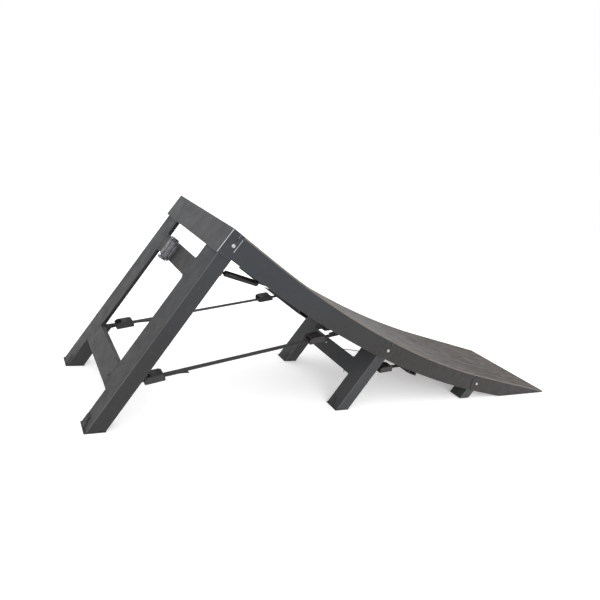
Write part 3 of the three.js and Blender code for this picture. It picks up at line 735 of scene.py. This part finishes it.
def band(bm, path, y, width, thick, material=0):
    """Webbing carried along a side-view path, with rounded selvedges."""
    half, t = width / 2, thick / 2
    across = [(-half, 0.0), (-half + 0.5, 0.8), (-half + 1.4, 1.0), (-half + 2.4, 0.82)]
    across += [(-half + 2.4 + (width - 4.8) * k / 6, 0.86) for k in range(1, 6)]
    across += [(half - 2.4, 0.82), (half - 1.4, 1.0), (half - 0.5, 0.8), (half, 0.0)]
    profile = across + [(yy, -h) for yy, h in across[-2:0:-1]]
    loops = []
    for i, p in enumerate(path):
        a, b = path[max(i - 1, 0)], path[min(i + 1, len(path) - 1)]
        dx, dz = b[0] - a[0], b[1] - a[1]
        size = math.hypot(dx, dz) or 1.0
        nx, nz = -dz / size, dx / size
        loops.append([row((p[0] + nx * h * t, p[1] + nz * h * t), y + yy) for yy, h in profile])
    rings(bm, loops, material)


def loop_round(q, u, radius, start, end, count=14):
    """Points on an arc about a pin at u, angles in degrees in the strap's frame."""
    points = []
    for i in range(count + 1):
        t = math.radians(start + (end - start) * i / count)
        points.append(q(u + radius * math.cos(t), radius * math.sin(t)))
    return points


def straight(q, u0, u1, v0, v1, step=8.0):
    count = max(2, round(abs(u1 - u0) / step))
    return [q(u0 + (u1 - u0) * i / count, v0 + (v1 - v0) * i / count) for i in range(count + 1)]


def stitches(bm, q, u0, u1, v, y, material=1):
    """A sewn box with a cross in it, dash by dash."""
    w = STRAP_W / 2 - 4
    lines = [((u0, -w), (u1, -w)), ((u1, -w), (u1, w)), ((u1, w), (u0, w)), ((u0, w), (u0, -w)),
             ((u0, -w), (u1, w)), ((u0, w), (u1, -w))]
    for (ua, ya), (ub, yb) in lines:
        length = math.hypot(ub - ua, yb - ya)
        count = max(2, round(length / 3.2))
        for i in range(count):
            f0, f1 = (i + 0.18) / count, (i + 0.82) / count
            a = (ua + (ub - ua) * f0, ya + (yb - ya) * f0)
            b = (ua + (ub - ua) * f1, ya + (yb - ya) * f1)
            size = math.hypot(b[0] - a[0], b[1] - a[1])
            sx, sy = -(b[1] - a[1]) / size * 0.45, (b[0] - a[0]) / size * 0.45
            loops = []
            for f, h in ((0.0, 0.1), (0.3, 0.55), (0.7, 0.55), (1.0, 0.1)):
                uu, yy = a[0] + (b[0] - a[0]) * f, a[1] + (b[1] - a[1]) * f
                loops.append([row(q(uu + sx * k, v + up * h), y + yy + sy * k)
                              for k, up in ((-1, -0.2), (-0.6, 1), (0.6, 1), (1, -0.2))])
            rings(bm, loops, material)


def strap(name, pin, anchor, y, u0, tail):
    q, length = line_frame(pin, anchor)
    bm = bmesh.new()
    thick, r, inside = 1.7, 5.6, u0 + 34
    path = straight(q, inside, 6, -0.2, -r + 0.6)[:-1] + loop_round(q, 0, r, -80, -280)
    path += straight(q, 6, inside - 6, r - 0.6, 1.6)[1:]
    band(bm, path, y, STRAP_W, thick)
    stitches(bm, q, 12, 30, 5.2, y)
    long = straight(q, inside, length, -0.4, -r + 0.2, 9.0) + loop_round(q, length, r, -90, 100)
    band(bm, long, y, STRAP_W, thick)
    band(bm, straight(q, length - 1, length - 62, r - 0.2, 1.7), y, STRAP_W, thick)
    stitches(bm, q, length - 50, length - 16, 3.4, y)
    start = u0 + TAIL_START
    if tail == "split":
        droop = [q(start + SPLIT_TAIL * f, -2.4 - 8.5 * f * f - 1.2 * math.sin(f * 7))
                 for f in (i / 22 for i in range(23))]
        band(bm, droop, y, STRAP_W - 0.6, thick)
    elif tail == "doubled":
        lay = [q(start + DOUBLED_TAIL * f, -2.4 - 7.5 * f * f) for f in (i / 20 for i in range(21))]
        band(bm, lay, y, STRAP_W - 0.6, thick)
    obj = finish_mesh(name + "_webbing", bm, [WEB, THREAD], None, (name,), weld=False)
    along_strap(obj, pin, anchor, u0, y)
    return obj


def along_strap(obj, pin, anchor, u0, y):
    """Bakes obj's transform into its mesh; the points at the anchor and at the buckle are worked out but not
    used.
    """
    q, length = line_frame(pin, anchor)
    row(q(length - 20, 0), y)
    row(q(u0 + BUCKLE_L, 0), y)
    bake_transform(obj)


# ---- cam buckles ------------------------------------------------------------
BUCKLE_L, BUCKLE_HALF = 70.0, 24.0
REAR_BUCKLE_U, MID_BUCKLE_U, ADJUSTER_BACK = 36.0, 57.0, 170.0


def cross_pin(bm, q, u, v, y, radius):
    """A pin through both cheeks with a domed head at each end."""
    reach = BUCKLE_HALF
    turned(bm, row(q(u, v), y - reach), (0, 1, 0),
           [(0, -1.0), (radius * 1.3, -0.7), (radius * 1.6, 0.1), (radius, 0.2),
            (radius, 2 * reach - 0.2), (radius * 1.6, 2 * reach - 0.1), (radius * 1.3, 2 * reach + 0.7),
            (0, 2 * reach + 1.0)], 20)


def buckle(name, body, pin, anchor, u0, y, with_lid):
    q, _ = line_frame(pin, anchor)
    bm = bmesh.new()
    end, half = u0 + BUCKLE_L, BUCKLE_HALF
    prism(bm, [q(u0, -11), q(end, -11), q(end, -8), q(u0, -8)], y - half + 1.5, y + half - 1.5)
    cheek = [q(u0, -10), q(u0 + 1.5, -11), q(end - 1.5, -11), q(end, -10), q(end, 6), q(end - 3, 10),
             q(end - 12, 15), q(u0 + 12, 15), q(u0 + 3, 11), q(u0, 8)]
    for s in (-1, 1):
        prism(bm, cheek, y + s * (half - 3), y + s * half)
    if with_lid:
        lid = [q(u0 + 6, 11), q(end - 8, 11), q(end - 12, 15), q(u0 + 12, 15)]
        prism(bm, lid, y - half + 2.5, y + half - 2.5)
    round_edges(bm, 1.0, 3)
    cross_pin(bm, q, u0 + 6, -2.5, y, 2.2)
    cross_pin(bm, q, end - 6, -2.5, y, 2.2)
    if with_lid:
        cross_pin(bm, q, u0 + 35, 4.5, y, 2.4)
        for k in range(6):
            u = u0 + 20 + k * 5.5
            prism(bm, [q(u, 14.8), q(u + 2.4, 14.8), q(u + 1.8, 16.0), q(u + 0.6, 16.0)], y - 17, y + 17)
    else:
        cross_pin(bm, q, u0 + 30, 9, y, 2.5)
    return finish_mesh(name + "_cast", bm, [CAST], body, (name,), weld=False)


def lever(name, body, pin, anchor, u0, y):
    q, _ = line_frame(pin, anchor)
    bm = bmesh.new()
    half = BUCKLE_HALF - 3.8
    arm = [q(u0 + 22, 12), q(u0 + 22.6, 8), q(u0 + 25, 4.8), q(u0 + 34, 4.6), q(u0 + 42, 9), q(u0 + 64, 11.3),
           q(u0 + 66.3, 12.6), q(u0 + 66, 14.5), q(u0 + 60, 14.7), q(u0 + 38, 16), q(u0 + 26, 15.5),
           q(u0 + 23, 14)]
    prism(bm, arm, y - half, y + half)
    round_edges(bm, 0.8, 3)
    for k in range(5):
        u = u0 + 43 + k * 4.2
        rib = [q(u, 15.0), q(u + 2.4, 14.8), q(u + 1.9, 16.4), q(u + 0.5, 16.6)]
        prism(bm, rib, y - half + 3.5, y + half - 3.5)
    return finish_mesh(name + "_cast", bm, [CAST], body, (name,), weld=False)


for tag, side in SIDES:
    y = side * STRAP_Y
    strap(f"strap_rear_{tag}", REAR_PIN, REAR_ANCHOR, y,
          REAR_BUCKLE_U, "split" if side < 0 else "doubled")
    strap(f"strap_mid_{tag}", MID_PIN, MID_ANCHOR, y, MID_BUCKLE_U, "")
    buckle(f"buckle_rear_{tag}", "rear_leg_frame", REAR_PIN, REAR_ANCHOR, REAR_BUCKLE_U, y, False)
    lever(f"lever_rear_{tag}", f"lever_rear_{tag}", REAR_PIN, REAR_ANCHOR, REAR_BUCKLE_U, y)
    span = line_frame(REAR_PIN, REAR_ANCHOR)[1]
    adjuster = buckle(f"adjuster_rear_{tag}", None, REAR_PIN, REAR_ANCHOR, span - ADJUSTER_BACK, y, True)
    along_strap(adjuster, REAR_PIN, REAR_ANCHOR, REAR_BUCKLE_U, y)
    buckle(f"buckle_mid_{tag}", "mid_leg_frame", MID_PIN, MID_ANCHOR, MID_BUCKLE_U, y, False)
    lever(f"lever_mid_{tag}", f"lever_mid_{tag}", MID_PIN, MID_ANCHOR, MID_BUCKLE_U, y)


LOOSE_STEPS = 40


def loose_end():
    """The free end of a middle strap, laid across from its buckle to the cross-member."""
    bm = bmesh.new()
    corners = [Vector(p) for p in ((1236, -208, 183), (1230, -118, 207), (1167, -40, 184))]
    path = []
    for i in range(LOOSE_STEPS + 1):
        f = i / LOOSE_STEPS * 2
        k = min(int(f), 1)
        p = corners[k].lerp(corners[k + 1], f - k)
        path.append(p)
    for _ in range(3):
        inner = [(path[i - 1] + path[i] * 2 + path[i + 1]) / 4 for i in range(1, len(path) - 1)]
        path = [path[0]] + inner + [path[-1]]
    across0, across1 = Vector((1, 0, 0)), Vector((0.53, 0.8, -0.27)).normalized()
    loops = []
    for i, p in enumerate(path):
        along = (path[min(i + 1, LOOSE_STEPS)] - path[max(i - 1, 0)]).normalized()
        w = across0.lerp(across1, i / LOOSE_STEPS)
        n = w.cross(along).normalized()
        w = along.cross(n).normalized()
        ring = [(-9.6, 0), (-9.2, 0.7), (-7.6, 0.85), (7.6, 0.85), (9.2, 0.7), (9.6, 0), (9.2, -0.7),
                (7.6, -0.85), (-7.6, -0.85), (-9.2, -0.7)]
        loops.append([(p + w * a + n * b + Vector((X0, 0, 0))) / 1000 for a, b in ring])
    rings(bm, loops, 0)
    finish_mesh("tail_mid_a_webbing", bm, [WEB], "mid_leg_frame", ("tail_mid_a",), weld=False)


loose_end()


def anchor_pin(name, body, p, side, y_web):
    bm = bmesh.new()
    inner = STRAP_Y - STRAP_W / 2 - 8
    turned(bm, row(p, 0), (0, side, 0),
           [(0, inner - 0.2), (5.5, inner), (7, inner + 0.8), (7, inner + 3.4), (6.4, inner + 4),
            (4, inner + 4), (4, y_web - 3.8), (5.2, y_web - 3.3), (11.6, y_web - 3.3), (13, y_web - 2.4),
            (13, y_web - 0.3), (0, y_web - 0.3)], 32)
    finish_mesh(name + "_pin", bm, [ZINC], body, (name,))


for tag, side in SIDES:
    anchor_pin(f"anchor_rear_{tag}", "rear_section", REAR_ANCHOR, side, Y_RAIL - SHEET)
    anchor_pin(f"anchor_mid_{tag}", "mid_section", MID_ANCHOR, side, Y_MID - SHEET)


# ---- gas spring -------------------------------------------------------------
def gas_spring():
    q, length = line_frame(GAS_REAR, GAS_FRONT)
    ahead = (row(q(100, 0), GAS_Y) - row(q(0, 0), GAS_Y)).normalized()
    bm = bmesh.new()
    tube = [(0, 8.5), (4.5, 8.5), (4.5, 22.5), (8.6, 23.2), (10.4, 24.6), (11, 27), (11, 36), (10.5, 36.6),
            (10.5, 37.6), (11, 38.2), (11, 147), (10.5, 147.6), (10.5, 148.8), (11, 149.4), (11, 159.4),
            (10.2, 161.4), (8.4, 162), (5.7, 162), (5.5, 160.4), (5.5, 40), (0, 40)]
    turned(bm, row(q(0, 0), GAS_Y), ahead, tube, 40)
    ring_bar(bm, q(0, 0), 6.4, 2.9, GAS_Y)
    finish_mesh("gas_cylinder_tube", bm, [TUBE], "gas_cylinder", ("gas_cylinder",), weld=False)
    bm = bmesh.new()
    turned(bm, row(q(0, 0), GAS_Y), ahead,
           [(0, 114), (4, 114), (5, 115), (5, length - 22), (6.4, length - 21), (6.4, length - 10),
            (3, length - 8), (0, length - 8)], 32)
    ring_bar(bm, GAS_FRONT, 6.9, 2.9, GAS_Y)
    finish_mesh("gas_rod_shaft", bm, [CHROME], "gas_rod", ("gas_rod",), weld=False)
    bm = bmesh.new()
    web = Y_RAIL - SHEET - GAP
    turned(bm, row(GAS_FRONT, 0), (0, -1, 0),
           [(0, 214.2), (5.4, 214.2), (7, 215.2), (7, 217.2), (4, 217.4), (4, web - 5.4), (12.6, web - 5),
            (14, web - 4), (14, web), (0, web)], 32)
    finish_mesh("gas_stud_pin", bm, [ZINC], "rear_section", ("gas_stud",))


gas_spring()


# ---- carry handle -----------------------------------------------------------
def box_rl(bm, r0, r1, l0, l1, y0, y1):
    prism(bm, [q_rear(r0, l0), q_rear(r1, l0), q_rear(r1, l1), q_rear(r0, l1)], y0, y1)


def carry_handle():
    face = -HALF_LEG - GAP
    bm = bmesh.new()
    box_rl(bm, 114, 186, face - 3, face, 6, 111)
    for r0, r1, f0, f1 in ((103, 110.6, 110, 118), (188, 197, 182, 190)):
        box_rl(bm, r0, r1, face - 20, face + 6, 44, 70)
        box_rl(bm, f0, f1, face - 6, face, 10, 86)
    box_rl(bm, 105, 118, face - 6, face - 1, 44, 70)
    box_rl(bm, 182, 195, face - 6, face - 1, 44, 70)
    round_edges(bm, 0.9, 2)
    down = (row(q_rear(100, 0), 0) - row(q_rear(0, 0), 0)).normalized()
    turned(bm, row(q_rear(0, face - 14), 57), down,
           [(0, 101.4), (4.6, 101.8), (5.4, 103), (3.5, 103.1), (3.5, 196.9), (5.4, 197), (4.6, 198.2),
            (0, 198.6)], 24)
    for y in (20, 97):
        for r in (124, 176):
            turned(bm, row(q_rear(r, face - 3), y), LEG_BACK,
                   [(4.6, -0.4), (4.5, 0.7), (3.4, 1.7), (1.6, 2.1), (0, 2.2)], 20)
    finish_mesh("handle_base_plate", bm, [DULL], "rear_leg_frame", ("handle_base",), weld=False)
    bm = bmesh.new()
    for r0 in (116, 178):
        box_rl(bm, r0, r0 + 6, face - 18, face - 10, 18, 52.6)
        turned(bm, row(q_rear(r0, face - 14), 57), down,
               [(3.9, 0), (5.8, 0), (6.2, 0.8), (6.2, 5.2), (5.8, 6), (3.9, 6)], 24)
    round_edges(bm, 0.6, 2)
    grip = [(0, 116), (6.4, 116), (7.5, 117.4)]
    for k in range(9):
        r = 121 + k * 6.6
        grip += [(7.5, r), (7.0, r + 0.9), (7.0, r + 1.7), (7.5, r + 2.6)]
    grip += [(7.5, 182.6), (6.4, 184), (0, 184)]
    turned(bm, row(q_rear(0, face - 14), 18), down, grip, 32)
    finish_mesh("handle_bail_grip", bm, [GRIP], "handle_bail", ("handle_bail",), weld=False)


carry_handle()
